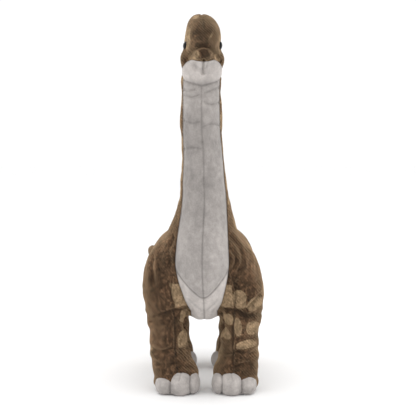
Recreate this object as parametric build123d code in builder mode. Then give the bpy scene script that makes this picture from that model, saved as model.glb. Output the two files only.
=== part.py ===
from math import cos, radians, sin
import os

from build123d import *

os.makedirs("parts", exist_ok=True)

# A stuffed long-necked dinosaur that stands on four legs, in millimetres.
# It faces -Y, +Z is up, and its own left side is +X.
# The origin is on the floor, under the middle of its length.

# ---- driving dimensions ----
cloth = 2.4  # plush cloth with its pile
slip = 0.7  # space between the cloth and the filling
joint_gap = 0.5  # clearance of the ball-shaped split at each seam that flexes
seam_gap = 0.2  # space between two panels that are sewn together
sole_thick = 2.0

eye_radius = 4.5
eye_proud = 2.6
shank_radius = 1.6
shank_length = 11.0
washer_radius = 6.0
washer_thick = 1.4
label_size = (13.0, 0.9, 22.0)

# Each flexing seam is where a ball meets a tube. These are the centres and radii of the balls.
front_hip = Vector(41.5, -123, 110)
rear_hip = Vector(38.5, 15, 104)
hip_ball = 29.4
neck_root = Vector(0, -121, 200)
neck_ball = 39.0
head_root = Vector(0, -123, 338)
head_ball = 32.0
tail_root = Vector(0, 39, 141)
tail_ball = 28.5

mouth_z = 391.0
chin_z = 376.0
jaw_back_y = -149.0
chin_back_y = -133.0

# ---- the ellipses that each tube runs through ----
# x, y, z, half width and half depth, from the floor up.
front_leg = [
    (35.0, -126, 2, 22.5, 25),
    (35.5, -126, 16, 24.5, 26),
    (37.5, -125, 38, 21.5, 24),
    (40.0, -123, 74, 22.5, 25),
    (41.5, -123, 98, 25.5, 27),
    (42.5, -123, 120, 27.5, 28.5),
    (37.0, -123, 146, 23, 26),
    (30.0, -123, 168, 15, 19),
]
rear_leg = [
    (35.0, 13, 2, 22, 25),
    (35.5, 13, 16, 24, 26),
    (37.0, 14, 40, 21.5, 24),
    (38.0, 15, 70, 22.5, 25),
    (38.5, 15, 92, 24.5, 27),
    (37.5, 13, 115, 25.5, 28),
    (31.0, 9, 142, 20, 25),
    (24.0, 5, 162, 13, 17),
]
shank_count = 5  # this many belong to the swinging leg, and from the one before on to the trunk
neck = [
    (0, -119, 165, 44, 40),
    (0, -120, 188, 35, 38.5),
    (0, -122, 214, 29.5, 33.5),
    (0, -125, 242, 25.5, 28.5),
    (0, -128, 300, 22, 24.5),
    (0, -128, 374, 21.5, 23.2),
]
nape = [
    (0, -128, 330, 21.5, 23.8),
    (0, -128, 350, 21.5, 23.5),
    (0, -129, 376, 21, 22.5),
    (0, -131, 392, 16, 17),
]
# x, y, z, half width and half height, from front to back.
barrel = [
    (0, -161, 142, 15, 24),
    (0, -153, 143, 33, 41),
    (0, -134, 144, 51, 54),
    (0, -71, 144, 62, 60),
    (0, -21, 140, 60, 55),
    (0, 14, 138, 50, 45),
    (0, 43, 140, 25, 25),
]
skull = [
    (0, -187, 387, 8, 10),
    (0, -178, 389, 15, 18.5),
    (0, -160, 394, 20, 28.5),
    (0, -130, 397, 22, 34),
    (0, -112, 393, 19, 25),
    (0, -103, 391, 11, 14),
]
# x, y, z, radius and heading in degrees from +Y towards -X, from root to tip.
tail = [
    (0, 27, 140, 29, 0),
    (0, 47, 140, 23.8, 3),
    (-4, 69, 138, 20, 20),
    (-16, 92, 136, 17, 36),
    (-48, 132, 132, 12.5, 34),
    (-63, 162, 131, 9.8, 14),
    (-66.5, 188, 130, 4.5, 2),
]
# How far each toe is outwards and forwards of the foot's middle, its radius and its height.
toes = [(-15.5, 17, 8, 21), (-2, 21, 12, 27), (15.4, 16, 9, 21)]

far = 500.0  # further than the toy reaches
sides = {"left": 1, "right": -1}


def save(piece, name):
    piece.part.label = name
    export_step(piece.part, f"parts/{name}.step")


def upright(stations, inset=0.0, side=1):
    """Level ellipses one above another, made smaller all round by inset."""
    with BuildPart() as tube:
        for x, y, z, across, deep in stations:
            with BuildSketch(Plane.XY.offset(z)):
                with Locations((side * x, y)):
                    Ellipse(across - inset, deep - inset)
        loft()
    return tube.part


def lengthwise(stations, inset=0.0):
    """Ellipses that stand across the Y axis, made smaller all round by inset."""
    with BuildPart() as tube:
        for x, y, z, across, tall in stations:
            if (x, y, z, across, tall) == stations[0]:
                y += inset
            if (x, y, z, across, tall) == stations[-1]:
                y -= inset
            with BuildSketch(Plane((x, y, z), x_dir=(1, 0, 0), z_dir=(0, 1, 0))):
                Ellipse(across - inset, tall - inset)
        loft()
    return tube.part


def curling(stations, inset=0.0):
    """Circles across a line that winds level, made smaller all round by inset."""
    with BuildPart() as tube:
        for x, y, z, radius, heading in stations:
            turn = radians(heading)
            across = Plane((x, y, z), x_dir=(cos(turn), sin(turn), 0), z_dir=(-sin(turn), cos(turn), 0))
            with BuildSketch(across):
                Circle(radius - inset)
        loft()
    return tube.part


def block(low, high):
    """A box from its low corner to its high corner."""
    with BuildPart() as tool:
        with Locations(low):
            Box(*(b - a for a, b in zip(low, high)), align=(Align.MIN, Align.MIN, Align.MIN))
    return tool.part


def ball(centre, radius):
    with BuildPart() as tool:
        with Locations(centre):
            Sphere(radius)
    return tool.part


def half_space(side):
    """All of one side of the toy, less half of a seam's width."""
    edge = seam_gap / 2
    low, high = sorted((side * edge, side * far))
    return block((low, -far, -far), (high, far, far))


def ball_end(shape, centre, radius, low, high):
    """Shape where it is inside the ball, or outside the box from low to high."""
    with BuildPart() as beyond:
        add(block(low, high))
        add(ball(centre, radius), mode=Mode.SUBTRACT)
    with BuildPart() as stub:
        add(shape)
        add(beyond.part, mode=Mode.SUBTRACT)
    return stub.part


def ball_seat(shape, centre, radius, low, high):
    """Shape where it is outside the ball and outside the box from low to high."""
    with BuildPart() as seat:
        add(shape)
        add(ball(centre, radius), mode=Mode.SUBTRACT)
        add(block(low, high), mode=Mode.SUBTRACT)
    return seat.part


def skin(form):
    """The cloth of a form, where form(inset) gives its solid."""
    with BuildPart() as cover:
        add(form(0))
        add(form(cloth), mode=Mode.SUBTRACT)
    return cover.part


def cut(shape, name, drop=(), keep=()):
    """Saves what is left of shape without the drop tools and inside the keep tools."""
    with BuildPart() as piece:
        add(shape)
        for tool in drop:
            add(tool, mode=Mode.SUBTRACT)
        for tool in keep:
            add(tool, mode=Mode.INTERSECT)
    save(piece, name)


# ---- legs: two cloth panels, filling, sole and toes each ----
def make_leg(name, stations, hip, side):
    centre = Vector(side * hip.X, hip.Y, hip.Z)

    def shank(inset):
        whole = upright(stations[:shank_count], inset, side)
        return ball_seat(whole, centre, hip_ball + joint_gap, (-far, -far, hip.Z - 3), (far, far, far))

    seam_x = side * stations[0][0]
    low_side = block((-far, -far, -far), (seam_x - seam_gap / 2, far, far))
    high_side = block((seam_x + seam_gap / 2, -far, -far), (far, far, far))
    outer, inner = (high_side, low_side) if side > 0 else (low_side, high_side)
    cover = skin(shank)
    cut(cover, f"{name}_leg_outer_panel", keep=[outer])
    cut(cover, f"{name}_leg_inner_panel", keep=[inner])
    with BuildPart() as filling:
        add(shank(cloth + slip))
    save(filling, f"{name}_leg_filling")

    x, y, _, across, deep = stations[0]
    with BuildPart() as sole:
        with BuildSketch():
            with Locations((side * x, y)):
                Ellipse(across, deep)
            for outwards, forwards, radius, _ in toes:
                with Locations((side * (x + outwards), y - forwards)):
                    Circle(radius)
        extrude(amount=sole_thick)
    save(sole, f"{name}_sole")

    with BuildPart() as front_toes:
        for outwards, forwards, radius, tall in toes:
            with Locations((side * (x + outwards), y - forwards, sole_thick)):
                Cylinder(radius, tall - radius, align=(Align.CENTER, Align.CENTER, Align.MIN))
            with Locations((side * (x + outwards), y - forwards, sole_thick + tall - radius)):
                Sphere(radius)
        add(upright(stations[:shank_count], 0, side), mode=Mode.SUBTRACT)
        add(block((-far, -far, -far), (far, far, sole_thick)), mode=Mode.SUBTRACT)
    save(front_toes, f"{name}_toes")


for side_name, side in sides.items():
    make_leg(f"front_{side_name}", front_leg, front_hip, side)
    make_leg(f"rear_{side_name}", rear_leg, rear_hip, side)


# ---- trunk: barrel, roots of the neck and tail, and four stubs that the legs swing on ----
keel = 15.4  # half width of the belly that stays between the legs


def leg_space(hip, side):
    """The room a leg takes below its joint, less the ball that it swings on."""
    near, out = sorted((side * keel, side * 90))
    with BuildPart() as space:
        add(block((near, hip.Y - 46, 30), (out, hip.Y + 44, hip.Z - 1.5)))
        add(ball((side * hip.X, hip.Y, hip.Z), hip_ball), mode=Mode.SUBTRACT)
    return space.part


def trunk(inset):
    with BuildPart() as form:
        add(lengthwise(barrel, inset))
        neck_stub = upright(neck[:4], inset)
        add(ball_end(neck_stub, neck_root, neck_ball, (-far, -far, neck_root.Z), (far, far, far)))
        tail_stub = curling(tail[:3], inset)
        add(ball_end(tail_stub, tail_root, tail_ball, (-far, tail_root.Y, -far), (far, far, far)))
        for stations, hip in ((front_leg, front_hip), (rear_leg, rear_hip)):
            for side in sides.values():
                stub = upright(stations[shank_count - 2 :], inset, side)
                centre = (side * hip.X, hip.Y, hip.Z)
                add(ball_end(stub, centre, hip_ball, (-far, -far, -far), (far, far, hip.Z - 1.5)))
        for hip in (front_hip, rear_hip):
            for side in sides.values():
                add(leg_space(hip, side), mode=Mode.SUBTRACT)
    return form.part


with BuildPart() as pale_front:  # the pale shield on the chest, which goes on under the belly
    with BuildSketch(Plane.XZ.offset(111)):
        with BuildLine():
            Polyline((-14, 60), (-17, 100), (-30, 150), (-29, 300), (29, 300), (30, 150), (17, 100), (14, 60), close=True)
        make_face()
    extrude(amount=80)
    add(block((-keel, -121, 60), (keel, 35, 112)))

trunk_skin = skin(trunk)
for side_name, side in sides.items():
    half = half_space(side)
    cut(trunk_skin, f"belly_{side_name}_panel", keep=[half, pale_front.part])
    cut(trunk_skin, f"flank_{side_name}_panel", drop=[pale_front.part], keep=[half])
with BuildPart() as trunk_filling:
    add(trunk(cloth + slip))
save(trunk_filling, "trunk_filling")


# ---- neck ----
def neck_tube(inset):
    tube = upright(neck, inset)
    seat = ball_seat(tube, neck_root, neck_ball + joint_gap, (-far, -far, -far), (far, far, neck_root.Z))
    return ball_end(seat, head_root, head_ball, (-far, -far, head_root.Z), (far, far, far))


with BuildPart() as pale_throat:  # in front of a line that leans with the neck
    with BuildSketch(Plane.YZ):
        with BuildLine():
            Polyline((-201, 150), (-129, 150), (-131, 220), (-135, 300), (-136, 400), (-201, 400), close=True)
        make_face()
    extrude(amount=60, both=True)

neck_skin = skin(neck_tube)
for side_name, side in sides.items():
    half = half_space(side)
    cut(neck_skin, f"neck_front_{side_name}_panel", keep=[half, pale_throat.part])
    cut(neck_skin, f"neck_side_{side_name}_panel", drop=[pale_throat.part], keep=[half])
with BuildPart() as neck_filling:
    add(neck_tube(cloth + slip))
save(neck_filling, "neck_filling")


# ---- head ----
def head(inset):
    with BuildPart() as form:
        add(lengthwise(skull, inset))
        add(upright(nape, inset))
    return ball_seat(
        form.part, head_root, head_ball + joint_gap, (-far, -far, -far), (far, far, head_root.Z)
    )


def eye_seat(side):
    """Where an eye sits on the cloth. Its Z axis points out of the head."""
    return Plane((side * 20.2, -149, 396), x_dir=(0, 0, 1), z_dir=(side * 0.94, -0.34, 0))


with BuildPart() as eye_room:  # what the cloth and the filling leave free round an eye and its washer
    Cylinder(shank_radius + 0.2, 2 * shank_length + 2)
    Cylinder(eye_radius + 0.2, 12, align=(Align.CENTER, Align.CENTER, Align.MIN))
washer_depth = cloth + 1.5
with BuildPart() as washer_room:
    with Locations((0, 0, -washer_depth - washer_thick - 0.4)):
        Cylinder(washer_radius + 0.4, 20, align=(Align.CENTER, Align.CENTER, Align.MIN))

head_form = head(0)
head_skin = skin(head)
jaw_zone = block((-far, -far, chin_z), (far, jaw_back_y, mouth_z))
chin_zone = block((-far, -far, -far), (far, chin_back_y, chin_z - seam_gap))
crown_drop = [
    block((-far, -far, chin_z - seam_gap), (far, jaw_back_y + seam_gap, mouth_z + seam_gap)),
    block((-far, -far, -far), (far, chin_back_y + seam_gap, chin_z)),
]
eye_rooms = [eye_seat(side).location * eye_room.part for side in sides.values()]
washer_rooms = [eye_seat(side).location * washer_room.part for side in sides.values()]
for side_name, side in sides.items():
    cut(head_skin, f"crown_{side_name}_panel", drop=[*crown_drop, *eye_rooms], keep=[half_space(side)])
cut(head_skin, "jaw_panel", drop=eye_rooms, keep=[jaw_zone])
cut(head_skin, "chin_panel", keep=[chin_zone])
cut(head(cloth + slip), "head_filling", drop=[*eye_rooms, *washer_rooms])

for side_name, side in sides.items():
    seat = eye_seat(side)
    dome_radius = (eye_radius**2 + eye_proud**2) / (2 * eye_proud)
    with BuildPart() as eye:
        with BuildSketch(Plane(seat.origin, x_dir=seat.x_dir, z_dir=-seat.y_dir)):
            with BuildLine():
                top, rim = (0, eye_proud), (eye_radius, 0)
                RadiusArc(rim, top, -dome_radius)
                Polyline(top, (0, -shank_length), (shank_radius, -shank_length), (shank_radius, 0), rim)
            make_face()
        revolve(axis=Axis(seat.origin, seat.z_dir))
    save(eye, f"eye_{side_name}")
    with BuildPart(seat.offset(-washer_depth - washer_thick / 2)) as washer:
        Cylinder(washer_radius, washer_thick)
        Hole(shank_radius + 0.1)
    save(washer, f"eye_washer_{side_name}")


# ---- tail ----
def tail_tube(inset):
    x, y, z, radius, heading = tail[-1]
    tube = curling([*tail[:-1], (x, y - inset, z, radius, heading)], inset)
    return ball_seat(tube, tail_root, tail_ball + joint_gap, (-far, -far, -far), (far, tail_root.Y, far))


with BuildPart() as tail_left:  # left of the tail's own middle line
    with BuildSketch(Plane.XY.offset(60)):
        with BuildLine():
            middle = Spline(*((x, y) for x, y, *_ in tail), (-68, 220))
            Polyline(middle @ 1, (200, 220), (200, 27), middle @ 0)
        make_face()
    extrude(amount=160)

tail_skin = skin(tail_tube)
cut(tail_skin, "tail_left_panel", keep=[tail_left.part])
cut(tail_skin, "tail_right_panel", drop=[tail_left.part])
with BuildPart() as tail_filling:
    add(tail_tube(cloth + slip))
save(tail_filling, "tail_filling")


# ---- blank label, sewn into the seam under the tail ----
with BuildPart() as care_label:
    with Locations((9, 36, 92)):
        Box(*label_size)
    add(trunk(0), mode=Mode.SUBTRACT)
save(care_label, "care_label")
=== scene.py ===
import math
import bmesh
import bpy
import numpy as np
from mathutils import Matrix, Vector


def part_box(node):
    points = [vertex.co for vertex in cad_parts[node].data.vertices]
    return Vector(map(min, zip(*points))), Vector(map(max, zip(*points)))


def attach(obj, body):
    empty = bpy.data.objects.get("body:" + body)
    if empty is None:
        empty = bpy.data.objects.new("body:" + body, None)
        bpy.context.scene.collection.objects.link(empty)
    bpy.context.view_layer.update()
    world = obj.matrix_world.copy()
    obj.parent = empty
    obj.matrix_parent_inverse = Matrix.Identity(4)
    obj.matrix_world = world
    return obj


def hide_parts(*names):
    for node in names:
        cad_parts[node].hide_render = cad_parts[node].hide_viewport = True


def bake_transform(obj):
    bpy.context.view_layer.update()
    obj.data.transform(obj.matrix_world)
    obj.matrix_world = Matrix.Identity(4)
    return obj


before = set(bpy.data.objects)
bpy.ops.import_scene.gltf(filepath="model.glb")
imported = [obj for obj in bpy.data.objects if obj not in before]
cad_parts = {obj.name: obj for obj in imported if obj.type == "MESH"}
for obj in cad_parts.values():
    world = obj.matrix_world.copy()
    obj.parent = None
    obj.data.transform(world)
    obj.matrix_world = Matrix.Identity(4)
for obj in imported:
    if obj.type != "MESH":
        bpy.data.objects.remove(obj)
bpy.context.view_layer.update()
scene = bpy.context.scene
mm = 0.001  # every table below is in millimetres

# where the camera stands, the degrees it is turned down and right, and its lens
camera = {"place": (0, -1461, 317), "down": 4.49, "right": 0.2, "lens": 101.1}
# strength of the sky and watts of each lamp
studio = {"sky": 1.06, "key": 12.0, "front": 1.5, "side": 1.5}


def softbox(name, place, target, size, watts):
    light = bpy.data.lights.new(name, "AREA")
    light.shape, light.size, light.size_y, light.energy = "RECTANGLE", size[0], size[1], watts
    lamp = bpy.data.objects.new(name, light)
    scene.collection.objects.link(lamp)
    lamp.location = place
    lamp.rotation_mode = "QUATERNION"
    lamp.rotation_quaternion = (Vector(target) - Vector(place)).to_track_quat("-Z", "Y")


def setCamera():
    cam = bpy.data.objects.new("camera", bpy.data.cameras.new("camera"))
    scene.collection.objects.link(cam)
    cam.location = Vector(camera["place"]) * mm
    cam.rotation_euler = (math.radians(90 - camera["down"]), 0, math.radians(-camera["right"]))
    cam.data.lens, cam.data.sensor_width = camera["lens"], 36
    cam.data.clip_start, cam.data.clip_end = 0.05, 40
    scene.camera = cam


def setStudio():
    softbox("overhead", (0, -0.35, 1.9), (0, 0, 0.15), (2.4, 2.2), studio["key"])
    softbox("front", (0.1, -2.2, 0.9), (0, 0, 0.2), (1.6, 1.2), studio["front"])
    for side in (-1, 1):
        softbox("side" + str(side + 1), (side * 1.5, -0.1, 0.5), (0, 0, 0.2), (0.7, 1.2), studio["side"])
    world = bpy.data.worlds.new("studio")
    scene.world = world
    world.use_nodes = True
    back = world.node_tree.nodes["Background"]
    back.inputs["Color"].default_value = (1, 1, 1, 1)
    back.inputs["Strength"].default_value = studio["sky"]


setCamera()
setStudio()
print("camera and lights are set")


# shader helpers
class Wire:  # a socket that can stand in a sum
    def __init__(self, paint, socket):
        self.paint, self.socket = paint, socket

    def math(self, operation, a, b):
        return self.paint.node("ShaderNodeMath", {"operation": operation}, {0: a, 1: b})

    def __add__(self, other):
        return self.math("ADD", self, other)

    def __sub__(self, other):
        return self.math("SUBTRACT", self, other)

    def __rsub__(self, other):
        return self.math("SUBTRACT", other, self)

    def __mul__(self, other):
        return self.math("MULTIPLY", self, other)

    def __rmul__(self, other):
        return self.math("MULTIPLY", other, self)

    def __pow__(self, other):
        return self.math("POWER", self, other)


class Paint:  # one material and its nodes
    def __init__(self, name):
        self.material = bpy.data.materials.new(name)
        self.material.use_nodes = True
        self.tree = self.material.node_tree
        self.shader = self.tree.nodes["Principled BSDF"]

    def node(self, kind, settings=None, inputs=None, output=0):
        made = self.tree.nodes.new(kind)
        for key, value in (settings or {}).items():
            setattr(made, key, value)
        for key, value in (inputs or {}).items():
            if isinstance(value, Wire):
                self.tree.links.new(value.socket, made.inputs[key])
            else:
                made.inputs[key].default_value = value
        return Wire(self, made.outputs[output])

    def into(self, name, value):
        if isinstance(value, Wire):
            self.tree.links.new(value.socket, self.shader.inputs[name])
        else:
            self.shader.inputs[name].default_value = value

    def place(self, scale=(1, 1, 1), turn=(0, 0, 0)):
        spot = self.node("ShaderNodeTexCoord", output="Object")
        return self.node("ShaderNodeMapping", None, {"Vector": spot, "Scale": scale, "Rotation": turn})

    def noise(self, where, scale, detail=2.0, rough=0.5, warp=0.0):
        inputs = {"Vector": where, "Scale": scale, "Detail": detail, "Roughness": rough, "Distortion": warp}
        return self.node("ShaderNodeTexNoise", {"noise_dimensions": "3D"}, inputs)

    def span(self, value, low, high, toLow=0.0, toHigh=1.0):
        inputs = {0: value, 1: low, 2: high, 3: toLow, 4: toHigh}
        return self.node("ShaderNodeMapRange", {"clamp": True}, inputs)

    def mix(self, factor, a, b, blend="MIX"):
        settings = {"data_type": "RGBA", "blend_type": blend}
        return self.node("ShaderNodeMix", settings, {0: factor, 6: a, 7: b}, 2)

    def shade(self, colour, light):  # a colour made darker or lighter by a number
        grey = self.node("ShaderNodeCombineColor", None, {0: light, 1: light, 2: light})
        return self.mix(1.0, colour, grey, "MULTIPLY")

    def attribute(self, name):
        return self.node("ShaderNodeAttribute", {"attribute_name": name}, output="Fac")

    def bump(self, height, distance):
        return self.node("ShaderNodeBump", None, {"Height": height, "Distance": distance, "Strength": 1.0})


def colour(red, green, blue):  # from screen values of 0 to 255
    shares = [c / 255 for c in (red, green, blue)]
    return tuple(c / 12.92 if c < 0.041 else ((c + 0.055) / 1.055) ** 2.4 for c in shares) + (1,)


plush = {
    "dark": colour(73, 54, 39),
    "tan": colour(133, 112, 87),
    "grey": colour(165, 159, 155),
    "ridge": 0.0023,  # spacing of the ridges that the pile lies in, in metres
    "sheen": 0.75, "contrast": 1.5, "patchContrast": 0.7,
    "pile": 0.0012, "shortPile": 0.00035,  # heights of the brown and the grey pile, in metres
}


def ridges(paint):
    slant = paint.place(turn=(0.2, 0.75, 0.1))
    return paint.node(
        "ShaderNodeTexWave",
        {"wave_type": "BANDS", "bands_direction": "X", "wave_profile": "SIN"},
        {"Vector": slant, "Scale": 0.314 / plush["ridge"], "Distortion": 4.0, "Detail": 2.0, "Detail Scale": 1.2},
    )


def pileHeight(paint):
    # short pile that lies in slanting ridges, with finer fibre on top
    tuft = paint.noise(paint.place(), 620, 3.0, 0.6)
    fibre = paint.noise(paint.place(scale=(1, 1, 0.5)), 1900, 2.0, 0.6)
    return ridges(paint) * 0.45 + tuft * 0.75 + fibre * 0.5


def brownPlush():
    paint = Paint("brownPlush")
    patch = paint.attribute("patch")
    paintedCreaseShade = paint.attribute("paintedCreaseShade")
    brushed = paint.noise(paint.place(scale=(1, 1, 0.8)), 34, 3.0, 0.55, 0.6)
    speckle = paint.noise(paint.place(), 780, 2.0, 0.65)
    edge = paint.span(patch + (speckle - 0.5) * 0.5, 0.38, 0.62)
    base = paint.mix(edge, plush["dark"], plush["tan"])
    # nap tone with painted sheen and painted shade
    napAndPaintedLight = paint.attribute("napAndPaintedLight")
    mottle = paint.noise(paint.place(scale=(1, 1, 0.6), turn=(0, 0.5, 0)), 260, 3.0, 0.65, 0.8)
    light = paint.span(brushed, 0.3, 0.72, 0.78, 1.22) * paint.span(speckle, 0.3, 0.7, 0.6, 1.4)
    fleck = paint.noise(paint.place(scale=(1, 1, 0.7), turn=(0, -0.4, 0)), 430, 2.0, 0.6)
    light = light * paint.span(mottle, 0.32, 0.68, 0.52, 1.48) * paint.span(ridges(paint), 0, 1, 0.86, 1.14)
    power = plush["contrast"] - (plush["contrast"] - plush["patchContrast"]) * edge
    light = (light * paint.span(fleck, 0.32, 0.68, 0.55, 1.45)) ** power
    # painted shade darkens the seams and creases
    light = light * (1 - paintedCreaseShade * 0.6) * paint.span(napAndPaintedLight, -1.5, 1.5, 0.4, 1.7)
    paint.into("Base Color", paint.shade(base, light))
    paint.into("Roughness", paint.span(brushed, 0.3, 0.7, 0.98, 0.84))
    paint.into("Normal", paint.bump(pileHeight(paint), plush["pile"]))
    paint.into("Sheen Weight", plush["sheen"])
    paint.into("Sheen Roughness", 0.45)
    paint.into("Sheen Tint", colour(222, 190, 150))
    paint.into("Specular IOR Level", 0.15)
    return paint.material


def greyPlush():
    paint = Paint("greyPlush")
    paintedCreaseShade = paint.attribute("paintedCreaseShade")
    brushed = paint.noise(paint.place(scale=(1, 1, 0.6)), 30, 3.0, 0.5, 0.5)
    speckle = paint.noise(paint.place(), 800, 2.0, 0.6)
    light = paint.span(brushed, 0.3, 0.72, 0.9, 1.06) * paint.span(speckle, 0.25, 0.75, 0.88, 1.1)
    mottle = paint.noise(paint.place(scale=(1, 1, 0.7)), 180, 3.0, 0.6, 0.5)
    # painted shade darkens the seams and creases
    light = light * (1 - paintedCreaseShade * 0.35) * paint.span(mottle, 0.3, 0.7, 0.88, 1.12)
    # painted light and shade on the grey front, with nap tone
    light = light * paint.span(paint.attribute("napAndPaintedLight"), -1.5, 1.5, 0.4, 1.6)
    paint.into("Base Color", paint.shade(plush["grey"], light))
    paint.into("Roughness", paint.span(speckle, 0.2, 0.8, 0.86, 0.98))
    paint.into("Normal", paint.bump(pileHeight(paint), plush["shortPile"]))
    paint.into("Sheen Weight", 0.3)
    paint.into("Sheen Roughness", 0.5)
    paint.into("Sheen Tint", colour(250, 248, 246))
    paint.into("Specular IOR Level", 0.15)
    return paint.material


def thread(name, tint):
    paint = Paint(name)
    twist = paint.noise(paint.place(), 2600, 1.0)
    paint.into("Base Color", paint.shade(tint, paint.span(twist, 0.3, 0.7, 0.75, 1.1)))
    paint.into("Roughness", 0.75)
    paint.into("Normal", paint.bump(twist, 0.0001))
    return paint.material


def eyeGloss():
    paint = Paint("eyeGloss")
    cloud = paint.noise(paint.place(), 240, 2.0)
    paint.into("Base Color", paint.mix(cloud, colour(5, 4, 3), colour(12, 9, 7)))
    paint.into("Roughness", paint.span(cloud, 0.3, 0.7, 0.08, 0.14))
    paint.into("Specular IOR Level", 0.22)
    return paint.material


def washerPlastic():
    paint = Paint("washerPlastic")
    grain = paint.noise(paint.place(), 900, 2.0)
    paint.into("Base Color", paint.mix(grain, colour(222, 219, 208), colour(236, 234, 226)))
    paint.into("Roughness", paint.span(grain, 0.3, 0.7, 0.42, 0.6))
    paint.into("Normal", paint.bump(grain, 0.00005))
    return paint.material


def wovenLabel():
    paint = Paint("wovenLabel")
    warp = paint.node(
        "ShaderNodeTexWave", {"wave_type": "BANDS", "bands_direction": "X"}, {"Vector": paint.place(), "Scale": 600}
    )
    weft = paint.node(
        "ShaderNodeTexWave", {"wave_type": "BANDS", "bands_direction": "Z"}, {"Vector": paint.place(), "Scale": 600}
    )
    paint.into("Base Color", paint.shade(colour(238, 235, 228), paint.span(warp * weft, 0, 1, 0.86, 1.0)))
    paint.into("Roughness", paint.span(warp, 0, 1, 0.6, 0.75))
    paint.into("Normal", paint.bump(warp + weft, 0.00008))
    return paint.material


def floorPaper():
    paint = Paint("floorPaper")
    grain = paint.noise(paint.place(), 12, 2.0)
    paint.into("Base Color", paint.mix(grain, (0.93, 0.93, 0.93, 1), (0.95, 0.95, 0.95, 1)))
    paint.into("Roughness", 0.9)
    return paint.material


looks = {
    "brown": brownPlush(),
    "grey": greyPlush(),
    "darkThread": thread("darkThread", colour(70, 58, 48)),
    "greyThread": thread("greyThread", colour(140, 134, 130)),
    "eye": eyeGloss(),
    "washer": washerPlastic(),
    "label": wovenLabel(),
}
print("materials are mixed")


# small numeric tools
def ease(low, high, value):  # 0 below low, 1 above high and smooth between
    t = np.clip((value - low) / (high - low), 0, 1)
    return t * t * (3 - 2 * t)


def curve(table, value):  # a smooth line through a table of (at, height)
    at, height = np.array(table, float).T
    slope = np.gradient(height, at)
    value = np.clip(value, at[0], at[-1])
    k = np.clip(np.searchsorted(at, value) - 1, 0, len(at) - 2)
    step = at[k + 1] - at[k]
    t = (value - at[k]) / step
    a, b = height[k], height[k + 1]
    return (
        (2 * t**3 - 3 * t**2 + 1) * a + (t**3 - 2 * t**2 + t) * step * slope[k]
        + (3 * t**2 - 2 * t**3) * b + (t**3 - t**2) * step * slope[k + 1]
    )


def cloud(points, size, seed, stretch=(1, 1, 1)):
    # smooth seeded noise from -1 to 1, whose lumps are about size across
    lattice = np.random.RandomState(seed).uniform(-1, 1, (32, 32, 32))
    p = points / (size * np.array(stretch, float)) + 1000.0
    cell = np.floor(p).astype(int)
    t = p - cell
    t = t * t * (3 - 2 * t)
    total = np.zeros(len(p))
    for i in (0, 1):
        for j in (0, 1):
            for k in (0, 1):
                share = np.abs(1 - i - t[:, 0]) * np.abs(1 - j - t[:, 1]) * np.abs(1 - k - t[:, 2])
                total += share * lattice[(cell[:, 0] + i) % 32, (cell[:, 1] + j) % 32, (cell[:, 2] + k) % 32]
    return total


def near(distance, width):  # 1 on a line and 0 away from it
    return np.exp(-((distance / width) ** 2))


# the stuffed form: tubes that are joined, then smoothed
form = {  # in every table: x, y, z, half width, half depth
    "frontLeg": [
        (34, -126, 10, 26.5, 26.5), (34.6, -126, 20, 26, 27), (37.6, -125, 33, 23, 25.5), (39, -125, 43, 21.6, 24.5),
        (40, -124, 56, 20.8, 24.5), (41.4, -123, 70, 21.8, 25), (43, -123, 84, 23.3, 26), (43.7, -123, 94, 25.4, 27),
        (43.3, -123, 108, 27, 28.5), (42.6, -123, 122, 26.8, 28.5), (40, -122, 138, 25.6, 28),
        (35, -121, 152, 24, 27), (27, -120, 165, 20, 24),
    ],
    "rearLeg": [
        (36, 13, 9, 23.5, 25.5), (36.5, 13, 18, 22.8, 25.5), (38, 14, 30, 20.8, 24.5), (39, 14, 48, 20, 24.5),
        (39, 15, 70, 21.5, 26), (38.5, 14, 100, 25.5, 29), (36, 12, 120, 25, 30), (30, 9, 138, 20, 27),
        (24, 5, 152, 14, 20),
    ],
    "barrel": [
        (0, -160, 140, 20, 28), (0, -152, 141, 36, 46), (0, -134, 141.5, 51, 58), (0, -100, 139.5, 59, 57),
        (0, -71, 138, 61, 54), (0, -21, 136.5, 59.5, 52), (0, 14, 136.5, 50, 45.5), (0, 40, 139, 30, 31),
    ],
    "neck": [
        (0, -118, 150, 42, 40), (0, -119, 178, 40, 41), (0, -120, 190, 36, 39), (0, -121, 200, 32.6, 36.5),
        (0, -122, 214, 30.4, 33.5), (0, -124, 232, 27.8, 30), (0, -126, 254, 25.8, 27.5), (0, -127, 276, 24.6, 26),
        (0, -128, 300, 23.8, 24.8), (0, -128, 330, 23.8, 23.8), (0, -128, 352, 23.4, 23.5), (0, -129, 370, 23, 23),
        (0, -131, 388, 18, 19),
    ],
    "skull": [
        (0, -177, 388, 12, 12.5), (0, -170, 391, 15.5, 20), (0, -158, 395, 18.6, 28.5), (0, -142, 397.5, 20.4, 33),
        (0, -126, 397.5, 20.6, 33.5), (0, -112, 393, 18.5, 26), (0, -106, 391, 14, 17),
    ],
    "jaw": [(0, -124, 379, 20, 12), (0, -146, 380, 20, 10.5), (0, -162, 381.5, 16.5, 9.5), (0, -172, 383, 11.5, 7)],
    "tail": [
        (0, 27, 140, 30, 30), (0, 47, 140, 25, 25), (-5, 69, 138, 21, 21), (-20, 92, 135, 18, 18),
        (-39, 113, 132, 15.5, 15.5), (-56, 134, 129, 13.5, 13.5), (-67, 156, 128, 12, 12),
        (-71, 174, 129.5, 9.5, 9.5), (-71.5, 185, 130.5, 6, 6),
    ],
    "cheek": ((16.8, -141, 380), (9, 15, 11.5)),  # middle and half sizes
    "voxel": 4.6, "skullSquare": 0.85,  # below 1 a section is squarer than an ellipse
}


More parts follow.
